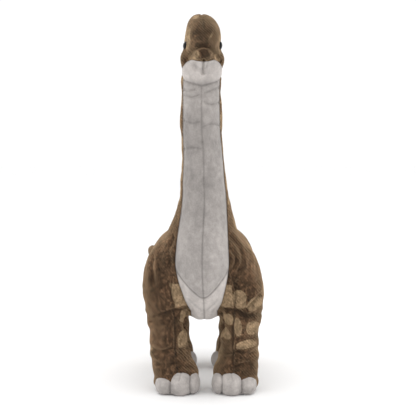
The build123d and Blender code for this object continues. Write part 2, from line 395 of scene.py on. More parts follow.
def tube(bm, stations, side=1, square=1.0):
    # ellipses across a smooth line, closed with rounded ends
    table = np.array(stations, float) * (side, 1, 1, 1, 1)
    fine = np.linspace(0, len(table) - 1, len(table) * 5)
    at = np.arange(len(table), dtype=float)
    rows = np.stack([curve(list(zip(at, column)), fine) for column in table.T], 1)
    along = np.gradient(rows[:, :3], axis=0)
    along /= np.linalg.norm(along, axis=1)[:, None]
    caps = [(0.3, 0.954), (0.6, 0.8), (0.82, 0.572), (0.95, 0.312)]
    rings = [(rows[0], along[0], -out, size) for out, size in reversed(caps)]
    rings += [(row, way, 0, 1) for row, way in zip(rows, along)]
    rings += [(rows[-1], along[-1], out, size) for out, size in caps]
    turn = np.linspace(0, 2 * math.pi, 40, endpoint=False)
    swing, lift = np.cos(turn)[:, None], np.sin(turn)[:, None]
    swing, lift = np.sign(swing) * np.abs(swing) ** square, np.sign(lift) * np.abs(lift) ** square
    loops = []
    for (x, y, z, across, deep), way, out, size in rings:
        wide = np.array((1.0, 0, 0)) - way * way[0]
        wide /= np.linalg.norm(wide)
        tall = np.cross(way, wide)
        middle = np.array((x, y, z)) + way * out * min(across, deep) * 0.75
        ring = middle + size * (across * swing * wide + deep * lift * tall)
        loops.append([bm.verts.new(p) for p in ring])
    for low, high in zip(loops, loops[1:]):
        for k in range(40):
            bm.faces.new((low[k], low[(k + 1) % 40], high[(k + 1) % 40], high[k]))
    bm.faces.new(loops[0])
    bm.faces.new(loops[-1])


def blob(bm, middle, size, square=1.0):
    made = bmesh.ops.create_uvsphere(bm, u_segments=24, v_segments=16, radius=1)
    for vert in made["verts"]:
        reach = [math.copysign(abs(v) ** square, v) * s for v, s in zip(vert.co, size)]
        vert.co = Vector(middle) + Vector(reach)


def solidObject(name, bm):
    bmesh.ops.recalc_face_normals(bm, faces=bm.faces)
    mesh = bpy.data.meshes.new(name)
    bm.to_mesh(mesh)
    bm.free()
    made = bpy.data.objects.new(name, mesh)
    scene.collection.objects.link(made)
    return made


def finished(made, *modifiers):
    # the object's mesh with these modifiers applied; the object goes
    for kind, settings in modifiers:
        modifier = made.modifiers.new(kind.lower(), kind)
        for key, value in settings.items():
            setattr(modifier, key, value)
    graph = bpy.context.evaluated_depsgraph_get()
    graph.update()
    mesh = bpy.data.meshes.new_from_object(made.evaluated_get(graph))
    bpy.data.objects.remove(made)
    return mesh


def fused(voxel):  # everything in the mesh becomes one closed skin
    return "REMESH", {"mode": "VOXEL", "voxel_size": voxel, "adaptivity": 0}


def rounded(levels):
    return "SUBSURF", {"levels": levels, "render_levels": levels}


def subdivided(mesh, levels):
    made = bpy.data.objects.new("soft", mesh)
    scene.collection.objects.link(made)
    return finished(made, rounded(levels))


def points(mesh):
    flat = np.zeros(len(mesh.vertices) * 3, np.float32)
    mesh.vertices.foreach_get("co", flat)
    return flat.reshape(-1, 3).astype(float)


def setPoints(mesh, p):
    mesh.vertices.foreach_set("co", p.astype(np.float32).ravel())
    mesh.update()


def edgesOf(mesh):
    flat = np.zeros(len(mesh.edges) * 2, np.int32)
    mesh.edges.foreach_get("vertices", flat)
    return flat.reshape(-1, 2)


def relax(p, edges, rounds, strength=0.5, hold=None):
    # each point moves towards the middle of its neighbours
    count = np.bincount(edges.ravel(), minlength=len(p))[:, None]
    for _ in range(rounds):
        total = np.zeros_like(p)
        for axis in range(3):
            total[:, axis] = np.bincount(edges[:, 0], p[edges[:, 1], axis], len(p))
            total[:, axis] += np.bincount(edges[:, 1], p[edges[:, 0], axis], len(p))
        step = (total / count - p) * strength
        p = p + (step if hold is None else step * hold[:, None])
    return p


def normalsOf(mesh):
    flat = np.zeros(len(mesh.vertices) * 3, np.float32)
    mesh.vertices.foreach_get("normal", flat)
    return flat.reshape(-1, 3).astype(float)


def roughForm():
    bm = bmesh.new()
    for side in (1, -1):
        tube(bm, form["frontLeg"], side)
        tube(bm, form["rearLeg"], side)
        (x, y, z), size = form["cheek"]
        blob(bm, (side * x, y, z), size)
    for name in ("barrel", "neck", "skull", "jaw", "tail"):
        tube(bm, form[name], 1, form["skullSquare"] if name == "skull" else 1.0)
    mesh = finished(solidObject("form", bm), fused(form["voxel"]))
    p, edges = points(mesh), edgesOf(mesh)
    small = ease(366, 374, p[:, 2])  # the head keeps more of its shape
    p = relax(p, edges, 10, 0.5, 1 - 0.75 * small)
    setPoints(mesh, p)
    return mesh


# where the seams run
seams = {
    "greyWidth": [
        (80, 15), (95, 15.5), (104, 19.3), (118, 23.7), (135, 28), (150, 30), (170, 29.3), (191, 27.7),
        (215, 25.5), (243, 23.7), (270, 22.2), (300, 21.2), (357, 20.6), (400, 20.6),
    ],
    "legFront": [(0, 32), (28, 32), (45, 32.8), (60, 33), (80, 33.5), (98, 34.8), (126, 36), (141, 32), (165, 27)],
    "chest": [(0, 112.5), (4, 114.5), (10.5, 120.5), (21, 132), (34, 150)],
    "throat": [(0, 351), (8, 353), (20, 357), (26, 360)],
    "chinTop": [(0, 376.6), (7, 377.5), (13, 379), (18, 377), (22, 372.5), (27, 368)],
    "mouth": [(0, 393), (10, 389.5), (20, 379), (26, 369)],
    "tailMiddle": [
        (-200, 0), (20, 0), (47, 0), (69, -5), (92, -20), (113, -39), (134, -56), (156, -67), (174, -71), (200, -72),
    ],
    "neckFoot": 212, "neckMiddle": 290, "headBack": 375, "tailRoot": 50,
}


def tailMiddle(y):
    return curve(seams["tailMiddle"], y)


def centreField(p):
    return p[:, 0] - tailMiddle(p[:, 1])


def greyField(p):  # below zero on the grey front and belly
    x, y, z = p.T
    width = curve(seams["greyWidth"], z)
    front = np.abs(x) - width + 60 * ease(-131, -119, y)
    under = np.maximum(np.abs(x) - 15 * (1 - ease(0, 48, y)), (z - 112) * 0.5)
    under = np.where(z < 70, 20.0, under)
    front = np.where(z < 96, np.maximum(front, under), front)
    return np.where(y < -150, front, np.where(z < 150, np.where(y < -125, np.minimum(front, under), under), front))


def ringField(p):  # below zero on a leg
    x, y, z = p.T
    wide = np.abs(x)
    top = 80 + 18 * ease(14, 24, wide) - 8 * ease(32, 62, wide)
    front = z - (top - 30 * ease(35, 46, np.abs(y + 123)))
    rear = z - (top - 2 - 30 * ease(35, 46, np.abs(y - 15)))
    return np.where(y < -54, front, rear)


def legField(p):  # below zero on the inner side of a leg
    return np.abs(p[:, 0]) - curve(seams["legFront"], p[:, 2])


def chestField(p):
    return p[:, 2] - curve(seams["chest"], np.abs(p[:, 0]))


def throatField(p):
    # the foot of the head: a wide v in front that climbs towards the back
    x, y, z = p.T
    return z - curve(seams["throat"], np.abs(x)) - (seams["headBack"] - 358) * ease(-142, -108, y)


def chinField(p):  # below zero on the chin
    return p[:, 2] - curve(seams["chinTop"], np.abs(p[:, 0]))


def mouthField(p):  # below zero on the lower jaw
    return p[:, 2] - curve(seams["mouth"], np.abs(p[:, 0]))


def chinBackField(p):
    return p[:, 1] + 131


def levelField(height):
    return lambda p: p[:, 2] - height


def tailField(p):
    return p[:, 1] - seams["tailRoot"]


def distanceTo(field, p, normals):
    # how far each point lies from the field's zero line, measured along the cloth
    value, step = field(p), 0.05
    slope = np.stack([(field(p + step * np.eye(3)[k]) - value) / step for k in range(3)], 1)
    slope -= normals * (slope * normals).sum(1)[:, None]
    return value / np.maximum(np.linalg.norm(slope, axis=1), 0.3)


def pieceIndex(p):
    # which panel each point belongs to
    x, y, z = p.T
    left = centreField(p) > 0
    grey, leg, head = greyField(p) < 0, ringField(p) < 0, (throatField(p) > 0) & (y < -90) & (z > 330)
    index = np.where(grey, 2, 0) + np.where(left, 0, 1)  # flank and belly
    neck = (z > seams["neckFoot"]) & (y < -70)
    index = np.where(neck, 4 + np.where(grey, 2, 0) + np.where(left, 0, 1), index)
    index = np.where(neck & (z > seams["neckMiddle"]), index + 4, index)
    index = np.where(head, 12 + np.where(left, 0, 1), index)
    front = head & (y < -131)
    jaw = front & (mouthField(p) < 0) & (y < -140)
    index = np.where(jaw, 14, index)
    index = np.where(front & (chinField(p) < 0), 15, index)
    index = np.where((y > seams["tailRoot"]) & (z > 100) & (z < 180), 16 + np.where(left, 0, 1), index)
    legs = 18 + np.where(y < -54, 0, 4) + np.where(x > 0, 0, 2) + np.where(legField(p) < 0, 1, 0)
    return np.where(leg, legs, index)


# stuffing: the cloth swells between its seams
stuffing = {"pressure": 3.6, "shrink": -0.035, "travel": 3.2, "frames": 20}


def seamHold(p):
    hold = near(greyField(p), 2.6) * (p[:, 1] < -100) + near(throatField(p), 2.4) * (p[:, 2] > 340)
    hold += near(centreField(p), 2.2) * (p[:, 1] < 168) + near(ringField(p), 3.0)
    hold += near(tailField(p), 2.5) * (p[:, 2] > 90)
    hold += near(legField(p), 2.2) * (p[:, 2] < 150) + near(mouthField(p), 2.2) * (p[:, 1] < -140)
    return np.clip(hold, 0, 1)


def padOut(mesh):
    p = points(mesh)
    body = bpy.data.objects.new("padding", mesh.copy())
    scene.collection.objects.link(body)
    setPoints(body.data, p * mm)
    held = body.vertex_groups.new(name="seams")
    hold = np.round(seamHold(p) * 0.8, 1)
    for weight in np.unique(hold):
        held.add(np.nonzero(hold == weight)[0].tolist(), float(weight), "REPLACE")
    cloth = body.modifiers.new("cloth", "CLOTH")
    settings = cloth.settings
    settings.quality = 5
    settings.mass = 0.3
    settings.tension_stiffness = settings.compression_stiffness = 12
    settings.bending_stiffness = 0.3
    settings.use_pressure = True
    settings.uniform_pressure_force = stuffing["pressure"]
    settings.shrink_min = stuffing["shrink"]
    settings.vertex_group_mass = "seams"
    settings.effector_weights.gravity = 0
    cloth.collision_settings.use_collision = False
    cloth.point_cache.frame_start, cloth.point_cache.frame_end = 1, stuffing["frames"]
    for step in range(1, stuffing["frames"] + 1):
        scene.frame_set(step)
    graph = bpy.context.evaluated_depsgraph_get()
    swollen = bpy.data.meshes.new_from_object(body.evaluated_get(graph))
    travel = points(swollen) / mm - p
    bpy.data.objects.remove(body)
    scene.frame_set(1)
    length = np.linalg.norm(travel, axis=1)[:, None]
    travel *= np.minimum(1, stuffing["travel"] / np.maximum(length, 1e-6))
    travel *= (1 - 0.5 * ease(366, 376, p[:, 2]))[:, None]  # less on the small head
    travel = relax(travel, edgesOf(mesh), 2)
    print("the cloth moved", round(float(length.mean()), 2), "mm on average, at most", round(float(length.max()), 2))
    setPoints(mesh, p + travel)


# creases, puckers and seams pressed into the cloth
seamLines = [  # field, depth, half width, where it runs
    (centreField, 0.8, 1.2,
     lambda x, y, z: (1 - ease(352, 355, z)) * (1 - 0.35 * (z > 215)) * (1 - ease(170, 182, y))),
    (centreField, 1.0, 1.2,
     lambda x, y, z: (z > 355) * (ease(402, 416, z) + (1 - ease(402, 416, z)) * ease(-131, -120, y))),
    (greyField, 1.0, 1.5, lambda x, y, z: (z > 80) & (z < 358) & (y < 48)),
    (chestField, 0.9, 1.4,
     lambda x, y, z: (y < -140) & (z < 145) & (np.abs(x) < curve(seams["greyWidth"], z))),
    (throatField, 1.5, 1.7, lambda x, y, z: (z > 340) & (y < -90)),
    (chinField, 1.1, 1.3, lambda x, y, z: (z > 362) & (y < -135)),
    (mouthField, 3.0, 2.0, lambda x, y, z: (z > 372) * ease(-148, -156, y)),
    (ringField, 1.6, 2.4,
     lambda x, y, z: (z > 62) * (z < 110) * ease(15, 20, np.abs(x)) * (1 - 0.5 * ease(50, 62, np.abs(x)))),
    (legField, 1.0, 1.4, lambda x, y, z: (z < 92) + (z >= 92) * (y < -126) * (1 - ease(128, 150, z))),
    (tailField, 0.7, 1.8, lambda x, y, z: (z > 100) & (z < 180)),
    (chinBackField, 0.7, 1.4, lambda x, y, z: (throatField(np.stack((x, y, z), 1)) > 0) * (z > 345) * (z < 372)),
]

# lines pressed in from the front: points on the line, depth and half width
creases = [
    ([(-56, 157), (-57, 145), (-55, 128)], 1.3, 2.2), ([(-70, 118), (-55, 121), (-38, 128)], 0.8, 2.4),
    ([(-60, 84), (-46, 88), (-37, 83)], 0.9, 2.4), ([(-64, 53), (-50, 49), (-38, 53), (-20, 50)], 1.1, 2.4),
    ([(-62, 38), (-48, 33), (-34, 36), (-18, 31)], 1.0, 2.6), ([(-22, 76), (-17, 82), (-14, 86)], 0.8, 1.8),
    ([(64, 66), (54, 63), (44, 66), (36, 63)], 1.2, 2.4), ([(62, 49), (50, 46), (40, 50), (20, 44)], 1.1, 2.4),
    ([(60, 33), (46, 36), (30, 31)], 0.9, 2.4), ([(16, 60), (24, 55), (33, 58)], 0.9, 2.0),
    ([(48, 99), (57, 109), (68, 117)], 1.3, 1.8), ([(40, 131), (52, 126), (66, 131)], 0.9, 2.2),
    ([(30, 182), (40, 172), (46, 160), (45, 150), (40, 142)], 0.7, 2.2),
    ([(37, 188), (49, 175), (55, 160), (53, 144)], 0.6, 2.4),
    ([(45, 184), (57, 170), (63, 154), (62, 140)], 0.5, 2.6), ([(31, 168), (37, 160), (38, 152), (34, 146)], 0.8, 1.9),
    ([(-33, 180), (-38, 165), (-36, 150)], 0.7, 2.4), ([(-8, 347), (-14, 345), (-20, 347)], 1.3, 1.6),
    ([(-3, 341), (-12, 338), (-19, 341)], 1.1, 1.6), ([(3, 343), (12, 346), (20, 349)], 1.3, 1.6),
    ([(3, 333), (12, 330), (20, 333)], 1.1, 1.6), ([(-3, 311), (-10, 309), (-20, 312)], 0.8, 1.8),
    ([(3, 306), (12, 309), (20, 307)], 0.8, 1.8), ([(-3, 281), (-12, 283), (-21, 280)], 0.7, 1.8),
    ([(1, 366), (0.5, 372), (0, 378)], 2.2, 1.3), ([(4, 370), (5, 376)], 1.2, 1.2),
    ([(-6, 371), (-10, 375)], 1.1, 1.8),
    ([(-4, 98), (-10, 103), (-16, 110)], 0.5, 2.2), ([(4, 98), (10, 103), (16, 110)], 0.5, 2.2),
]


# how deep a crease is, how far its edges rise and how dark its painted shade is
fold = {"depth": 1.35, "lip": 0.3, "dark": 0.6}


def pathDistance(x, z, path):
    best = np.full(len(x), 1e9)
    for (ax, az), (bx, bz) in zip(path, path[1:]):
        t = np.clip(((x - ax) * (bx - ax) + (z - az) * (bz - az)) / ((bx - ax) ** 2 + (bz - az) ** 2), 0, 1)
        best = np.minimum(best, np.hypot(x - ax - t * (bx - ax), z - az - t * (bz - az)))
    return best


def pressed(p, normals):
    # how deep each point is pressed in, and how much painted shade darkens it at a seam or crease
    x, y, z = p.T
    depth, paintedCreaseShade = np.zeros(len(p)), np.zeros(len(p))
    for field, deep, wide, where in seamLines:
        distance = distanceTo(field, p, normals)
        run = np.asarray(where(x, y, z), float)
        depth += deep * run * (near(distance, wide) + 0.35 * near(distance, wide * 3.2))
        # painted shade along the seam
        paintedCreaseShade = np.maximum(paintedCreaseShade, run * near(distance, wide * 0.8))
    facing = ease(0.1, -0.35, normals[:, 1])
    for path, deep, wide in creases:
        distance = pathDistance(x + 0.8 * cloud(p, 7, 3), z + 0.8 * cloud(p, 7, 4), path)
        across = near(distance, wide) - fold["lip"] * near(distance - wide * 2.1, wide)
        depth += fold["depth"] * deep * facing * across
        # painted shade in the crease, where it faces the front
        paintedCreaseShade = np.maximum(paintedCreaseShade, fold["dark"] * facing * near(distance, wide * 0.6))
    # small gathers where the cloth is drawn to a seam
    gather = cloud(p, 3.2, 11) * near(distanceTo(centreField, p, normals), 6) * 0.35
    gather += cloud(p, 5.5, 12) * near(distanceTo(ringField, p, normals), 9) * 0.8
    return depth + gather, np.clip(paintedCreaseShade, 0, 1)


def puffed(p):
    # broad rises and hollows, outwards
    x, y, z = p.T
    wide = np.abs(x)
    rise = 0.5 * cloud(p, 24, 21) + 0.3 * cloud(p, 10, 22) + 0.13 * cloud(p, 2.6, 23)
    rise += 1.6 * near(z - 364, 7) * ease(-128, -140, y) * (z < 380)  # the throat is fuller
    rise -= 2.2 * near(wide - 9, 4) * near(z - 373, 4) * (y < -140)
    for side in (-1, 1):
        rise -= 1.3 * near(np.linalg.norm((p - (side * 20, -150, 396)) * (0.5, 1, 1), axis=1), 6.5)
    rise -= 1.2 * near(z - 402, 8) * near(y + 178, 9) * (z > 385)  # a dip above the nose
    keel = ease(6, 19, wide) * (1 - ease(19, 25, wide)) * (1 - ease(96, 108, z)) * (1 - ease(-95, -50, y)) * (z > 70)
    rise -= 5 * keel  # the belly rounds up to the legs
    # the legs rise and sink in soft rings
    rise += ((z < 95) & (y < -54)) * 0.5 * np.sin(z * 0.33 + 3 * cloud(p, 30, 24))
    rise += ((z < 95) & (y > -54)) * 0.5 * np.sin(z * 0.3 + 3 * cloud(p, 30, 25))
    return rise


# the lean and turn of the finished toy
stance = {  # at each height: mm sideways, but degrees for the turn
    "lean": [(190, 0), (200, 0.6), (215, 1.6), (226, 1.8), (245, 1.0), (263, 0.7), (281, -0.1), (300, -1.5),
             (318, -1.7), (335, -2.1), (350, -2.1), (362, -1.7), (375, -1.1), (390, -1.2), (415, -0.6), (428, -2.2),
             (440, -3.0)],
    "turn": [(215, 0), (260, 1.4), (300, 1.5), (350, 1.4), (380, 1.5), (435, 1.5)],
    "shoulders": [(105, 0), (150, -1.2), (170, -0.8), (192, 0.2), (215, 0), (500, 0)],
    "legs": [(-5, 2.3), (18, 2.3), (42, 0.7), (60, 0), (85, 0.4), (102, 0), (500, 0)],
}


def stand(p):
    x, y, z = p[:, 0].copy(), p[:, 1].copy(), p[:, 2].copy()
    upper = (y < -60) & (z > 190)
    turn = np.radians(np.where(upper, curve(stance["turn"], z), 0))
    fromAxis = y + 127
    leaned = x * np.cos(turn) - fromAxis * np.sin(turn)
    deep = x * np.sin(turn) + fromAxis * np.cos(turn) - 127
    x = np.where(upper, leaned + curve(stance["lean"], z), x)
    y = np.where(upper, deep, y)
    x = x + np.where(y < -54, curve(stance["legs"], z), 0)
    x = x + curve(stance["shoulders"], z) * (1 - ease(-20, 25, y))
    z = np.maximum(z, 1.2)
    return np.stack((x, y, z), 1)


# the printed pattern: pale patches on dark plush
print("the shape is being stuffed")
patches = {
    "quads": [
        [(-38, 128.7), (-26.5, 128.7), (-16, 103), (-32.4, 100.5)],
        [(22, 128), (32.2, 126.5), (33.6, 100), (15, 102.5)],
    ],
    "rounds": [  # x, z, half width, half height, turn
        (-22, 90, 5.5, 8, -15), (-24.3, 62.5, 5.7, 10, -8), (40.7, 110, 7.4, 10.7, 0), (58, 104.5, 10, 6.5, 35),
        (27.5, 86.5, 5.2, 6.5, 30), (38.4, 77, 4, 11, 8), (24.9, 69.5, 4.6, 7.4, 20), (55.4, 76, 8, 7.6, 0),
        (48.5, 57.5, 12.5, 4.8, 6), (-18.5, 405, 3.2, 14, 0), (19.5, 400, 2.0, 12, 0), (-8, 427, 4, 2, 20),
        (6.8, 403, 0.9, 6.5, -27), (-16, 402.5, 0.9, 4.5, 30),
    ],
    "jaw": [(-10.7, 384, 6.5, 6, -30), (16.5, 381, 3.6, 5.5, 20)],
    "apart": (19, 34), "size": (5, 13), "onNeck": 0.7, "apartOnNeck": 0.72, "neck": 205,
}
# how strongly the stroked pile varies: wide, middling and fine, and on the head; at the tail's tip, how much painted
# shade darkens it
stroke = {"wide": 0.4, "middling": 0.3, "fine": 0.55, "head": 1.7, "tail": -0.7}
paintedLightMarks = [  # x, z, half width, half height, lightness: painted sheen where lighter, painted shade where darker
    (-43, 141, 12, 19, -0.6), (-42, 172, 10, 11, 1.3), (-55, 150, 4.5, 19, 1.0), (-32, 150, 3, 20, 0.4),
    (-64, 112, 5, 11, 1.0), (-62, 85, 4, 7, 0.8), (-67, 145, 4, 16, 0.8), (58, 157, 8, 24, 1.2), (46, 178, 8, 9, 0.9),
    (37, 148, 4.5, 22, -0.5), (48, 132, 12, 7, -0.4), (-50, 70, 9, 22, -0.2), (-45, 102, 9, 9, -0.3),
    (-62, 62, 4, 25, 0.5), (45, 91, 18, 3, -1.0), (60, 90, 6, 5, -0.3), (30, 50, 10, 7, -0.3), (58, 40, 5, 14, 0.3),
    (-36, 22, 20, 9, -0.3), (40, 24, 20, 9, -0.3), (27, 38, 6, 2.5, 0.8), (-52, 31, 8, 2.2, 0.6),
    (-12.3, 384, 2.2, 2.6, -2.2), (2, 408, 14, 16, -1.3), (3, 383, 8, 7, -1.3), (24, 384, 3.5, 9, -0.9),
    (-24, 384, 3.5, 9, -0.9), (0, 395, 14, 3, -1.0), (-9, 416, 4, 3, 0.6), (12, 417, 5, 3, 0.6),
]


def patchMask(p, normals):
    x, y, z = p.T
    wobble = 0.9 * cloud(p, 6, 31)
    front = ease(0.25, -0.1, normals[:, 1]) * (y < -54)
    best = np.full(len(p), -9.0)
    jaw = (mouthField(p) < 0) & (z > 370)
    for cx, cz, wide, tall, turn in patches["rounds"] + patches["jaw"]:
        a = math.radians(turn)
        u = ((x - cx) * math.cos(a) + (z - cz) * math.sin(a)) / wide
        v = (-(x - cx) * math.sin(a) + (z - cz) * math.cos(a)) / tall
        spot = (1 - (np.abs(u) ** 2.4 + np.abs(v) ** 2.4) ** (1 / 2.4)) * min(wide, tall)
        best = np.maximum(best, np.where(jaw | (cz > 390) | (z < 370), spot, -9.0))
    for quad in patches["quads"]:
        inside = np.full(len(p), 99.0)
        for (ax, az), (bx, bz) in zip(quad, quad[1:] + quad[:1]):
            inside = np.minimum(inside, ((z - az) * (bx - ax) - (x - ax) * (bz - az)) / -math.hypot(bx - ax, bz - az))
        best = np.maximum(best, inside)
    best = np.where(front > 0.5, best, -9.0)
    # the rest of the coat has patches spread at random, the same each time
    pick = np.random.RandomState(7)
    order = pick.permutation(len(p))
    wanted = order[(normals[order, 1] > 0.0) | ((np.abs(normals[order, 0]) > 0.9) & (y[order] > -110))]
    wanted = wanted[(z[wanted] > 20) & (z[wanted] < 362) & (y[wanted] < 145)]
    centres = []
    for index in wanted[:5000]:
        apart = pick.uniform(*patches["apart"]) * (patches["apartOnNeck"] if z[index] > patches["neck"] else 1)
        if all(np.linalg.norm(p[index] - c) > apart for c in centres):
            centres.append(p[index])
    for centre in centres:
        size = pick.uniform(*patches["size"]) * (patches["onNeck"] if centre[2] > patches["neck"] else 1)
        axes = np.linalg.qr(pick.normal(size=(3, 3)))[0]
        reach = np.abs((p - centre) @ axes) / pick.uniform(0.8, 1.5, 3)
        best = np.maximum(best, size - (reach**3.2).sum(1) ** (1 / 3.2) + 1.2 * cloud(p, 8, 32))
    return np.clip(0.5 + (best + wobble) * 0.45, 0, 1)


def napAndPaintedLightMask(p, normals):
    x, y, z = p.T
    front = ease(0.3, -0.2, normals[:, 1]) * (y < -54)
    total = stroke["wide"] * cloud(p, 17, 41) + stroke["middling"] * cloud(p, 7, 42)
    # the tail's tip is painted darker, as shade
    total += stroke["fine"] * cloud(p, 3.2, 45) + stroke["tail"] * ease(140, 160, y)
    total += stroke["head"] * cloud(p, 3.4, 47, (1, 2, 1)) * ease(374, 384, z)
    # painted sheen and painted shade on the front, mark by mark
    for cx, cz, wide, tall, light in paintedLightMarks:
        reach = ((x - cx) / wide) ** 2 + ((z - cz) / tall) ** 2
        total += light * front * np.exp(-(reach**1.5))
    # painted light on the grey front: the throat, upper neck, lower chest and belly are painted lighter, the lower
    # neck darker, the side at +x lighter and under the jaw a little painted shade, over random tone
    grey = 0.24 * cloud(p, 22, 43) + 0.2 * cloud(p, 6, 44) + 0.12 * cloud(p, 2.6, 46) - 0.1
    grey += 0.007 * x - 0.36 * ease(168, 215, z) + 0.4 * ease(310, 335, z)
    grey += 0.82 * ease(352, 360, z) + 0.8 * ease(0, -3, chestField(p)) * (z < 140) - 0.12 * near(z - 376, 4)
    grey += 0.2 * ease(150, 112, z)
    pale = ((greyField(p) < 0) & (z < 372)) | ((chinField(p) < 0) & (z > 340) & (y < -131))
    return np.clip(np.where(pale, grey, total), -1.5, 1.5)


# cutting the form into its panels
def cutAlong(bm, field, ahead):
    # a new edge wherever the field passes through zero
    bm.verts.index_update()
    bm.edges.ensure_lookup_table()
    value = field(np.array([v.co[:] for v in bm.verts]))
    value[value == 0] = 1e-6
    pairs = np.array([(e.verts[0].index, e.verts[1].index) for e in bm.edges])
    a, b = value[pairs[:, 0]], value[pairs[:, 1]]
    crossing = np.nonzero((a * b < 0) & (np.abs(a - b) < ahead))[0]
    onLine, faces = set(), set()
    for edge, k in [(bm.edges[k], k) for k in crossing]:
        made = bmesh.utils.edge_split(edge, edge.verts[0], float(np.clip(a[k] / (a[k] - b[k]), 0.03, 0.97)))[1]
        onLine.add(made)
        faces.update(made.link_faces)
    for face in sorted(faces, key=lambda f: tuple(f.calc_center_median())):
        ends = [v for v in face.verts if v in onLine]
        for first, second in zip(ends[::2], ends[1::2]):
            shared = [f for f in first.link_faces if second in f.verts]
            if shared and not any(second in e.verts for e in first.link_edges):
                bmesh.utils.face_split(shared[0], first, second)


def cutPanels(mesh):
    bm = bmesh.new()
    bm.from_mesh(mesh)
    fields = [centreField, greyField, ringField, legField, throatField, chinField, mouthField, chinBackField]
    fields += [levelField(seams["neckFoot"]), levelField(seams["neckMiddle"]), tailField]
    for field in fields:
        cutAlong(bm, field, 4.5)
    bm.to_mesh(mesh)
    bm.free()


def meshArrays(mesh):
    start, total = np.zeros(len(mesh.polygons), np.int32), np.zeros(len(mesh.polygons), np.int32)
    corner = np.zeros(len(mesh.loops), np.int32)
    mesh.polygons.foreach_get("loop_start", start)
    mesh.polygons.foreach_get("loop_total", total)
    mesh.loops.foreach_get("vertex_index", corner)
    return start, total, corner


def objectFrom(name, p, corners, totals, normals=None, marks=None):
    # p is in millimetres; marks are numbers kept on the points for the material
    mesh = bpy.data.meshes.new(name)
    mesh.vertices.add(len(p))
    mesh.vertices.foreach_set("co", (p * mm).astype(np.float32).ravel())
    mesh.loops.add(len(corners))
    mesh.loops.foreach_set("vertex_index", corners.astype(np.int32))
    mesh.polygons.add(len(totals))
    mesh.polygons.foreach_set("loop_start", np.concatenate(([0], np.cumsum(totals)[:-1])).astype(np.int32))
    mesh.polygons.foreach_set("loop_total", totals.astype(np.int32))
    mesh.update(calc_edges=True)
    mesh.validate()
    mesh.shade_smooth()
    for mark, value in (marks or {}).items():
        made = mesh.attributes.new(mark, "FLOAT", "POINT")
        made.data.foreach_set("value", value.astype(np.float32))
    if normals is not None:
        mesh.normals_split_custom_set_from_vertices(normals.tolist())
    made = bpy.data.objects.new(name, mesh)
    scene.collection.objects.link(made)
    return made


def fromMesh(name, mesh, p, marks=None):  # the same faces on points given in millimetres
    totals, corners = meshArrays(mesh)[1:]
    return objectFrom(name, p, corners, totals, None, marks)


sheet = 1.4  # how thick the cloth is


def panel(name, chosen, cloth):
    # one panel of cloth: outer face, inner face and the rim between them
    starts, totals = cloth["start"][chosen], cloth["total"][chosen]
    corners = np.concatenate([cloth["corner"][s:s + t] for s, t in zip(starts, totals)])
    used, corners = np.unique(corners, return_inverse=True)
    ends = np.cumsum(totals)
    following = np.arange(1, len(corners) + 1)
    following[ends - 1] = ends - totals
    first, second = corners, corners[following]
    count = len(used)
    forward, backward = first.astype(np.int64) * count + second, second.astype(np.int64) * count + first
    free = ~np.isin(forward, backward)
    rim = np.stack([second[free], first[free], first[free] + count, second[free] + count], 1)
    faces = np.split(corners, ends[:-1])
    inner = np.concatenate([face[::-1] for face in faces]) + count
    outer, outward = cloth["p"][used], cloth["normal"][used]
    p = np.concatenate([outer, outer - sheet * outward])
    marks = {key: np.concatenate([cloth[key][used]] * 2) for key in ("patch", "paintedCreaseShade", "napAndPaintedLight")}
    corners = np.concatenate([corners, inner, rim.ravel()])
    totals = np.concatenate([totals, totals, np.full(len(rim), 4)])
    return objectFrom(name, p, corners, totals, np.concatenate([outward, -outward]), marks)


def stuffedBody():
    mesh = roughForm()
    padOut(mesh)
    mesh = subdivided(mesh, 2)
    p, normals = points(mesh), normalsOf(mesh)
    depth = pressed(p, normals)[0]
    p = p + normals * (puffed(p) - depth)[:, None]
    setPoints(mesh, relax(p, edgesOf(mesh), 1, 0.3))
    cutPanels(mesh)
    p, normals = points(mesh), normalsOf(mesh)
    start, total, corner = meshArrays(mesh)
    cloth = {
        "start": start, "total": total, "corner": corner, "unleaned": p, "paintedCreaseShade": pressed(p, normals)[1],
        "patch": patchMask(p, normals), "napAndPaintedLight": napAndPaintedLightMask(p, normals),
        "index": pieceIndex(np.add.reduceat(p[corner], start) / total[:, None]),
    }
    setPoints(mesh, stand(p))
    cloth["p"], cloth["normal"] = stand(p), normalsOf(mesh)
    return cloth


sides = ("left", "right")
trunkBlend = (("trunk", "neck"), (0, -0.12, 0.212), (0, -0.12, 0.255))
headBlend = (("neck", "head"), (0, -0.12, 0.325), (0, -0.12, 0.365))
tailBlend = (("trunk", "tail"), (0, 0.050, 0.14), (0, 0.085, 0.14))


def legBlend(leg):
    return (("trunk", leg + "_leg"), (0, 0, 0.092), (0, 0, 0.055))


# piece, colour, CAD nodes that it stands for, body or blend
panelList = []
for side in sides:
    panelList.append(("flank_" + side, "brown", ["flank_" + side + "_panel", "trunk_filling"], "trunk"))
for side in sides:
    panelList.append(("belly_" + side, "grey", ["belly_" + side + "_panel"], "trunk"))
for part, joint in (("low", trunkBlend), ("high", headBlend)):
    for face, tint in (("side", "brown"), ("front", "grey")):
        for side in sides:
            nodes = ["neck_" + face + "_" + side + "_panel", "neck_filling"]
            panelList.append(("neck_" + face + "_" + side + "_" + part, tint, nodes, joint))
for side in sides:
    panelList.append(("crown_" + side, "brown", ["crown_" + side + "_panel", "head_filling"], headBlend))
panelList.append(("jaw", "brown", ["jaw_panel"], headBlend))
panelList.append(("chin", "grey", ["chin_panel"], headBlend))
for side in sides:
    panelList.append(("tail_" + side, "brown", ["tail_" + side + "_panel", "tail_filling"], tailBlend))
for end in ("front", "rear"):
    for side in sides:
        for face in ("outer", "inner"):
            name = end + "_" + side + "_leg_"
            nodes = [name + face + "_panel", name + "filling"]
            panelList.append((name + face, "brown", nodes, legBlend(end + "_" + side)))


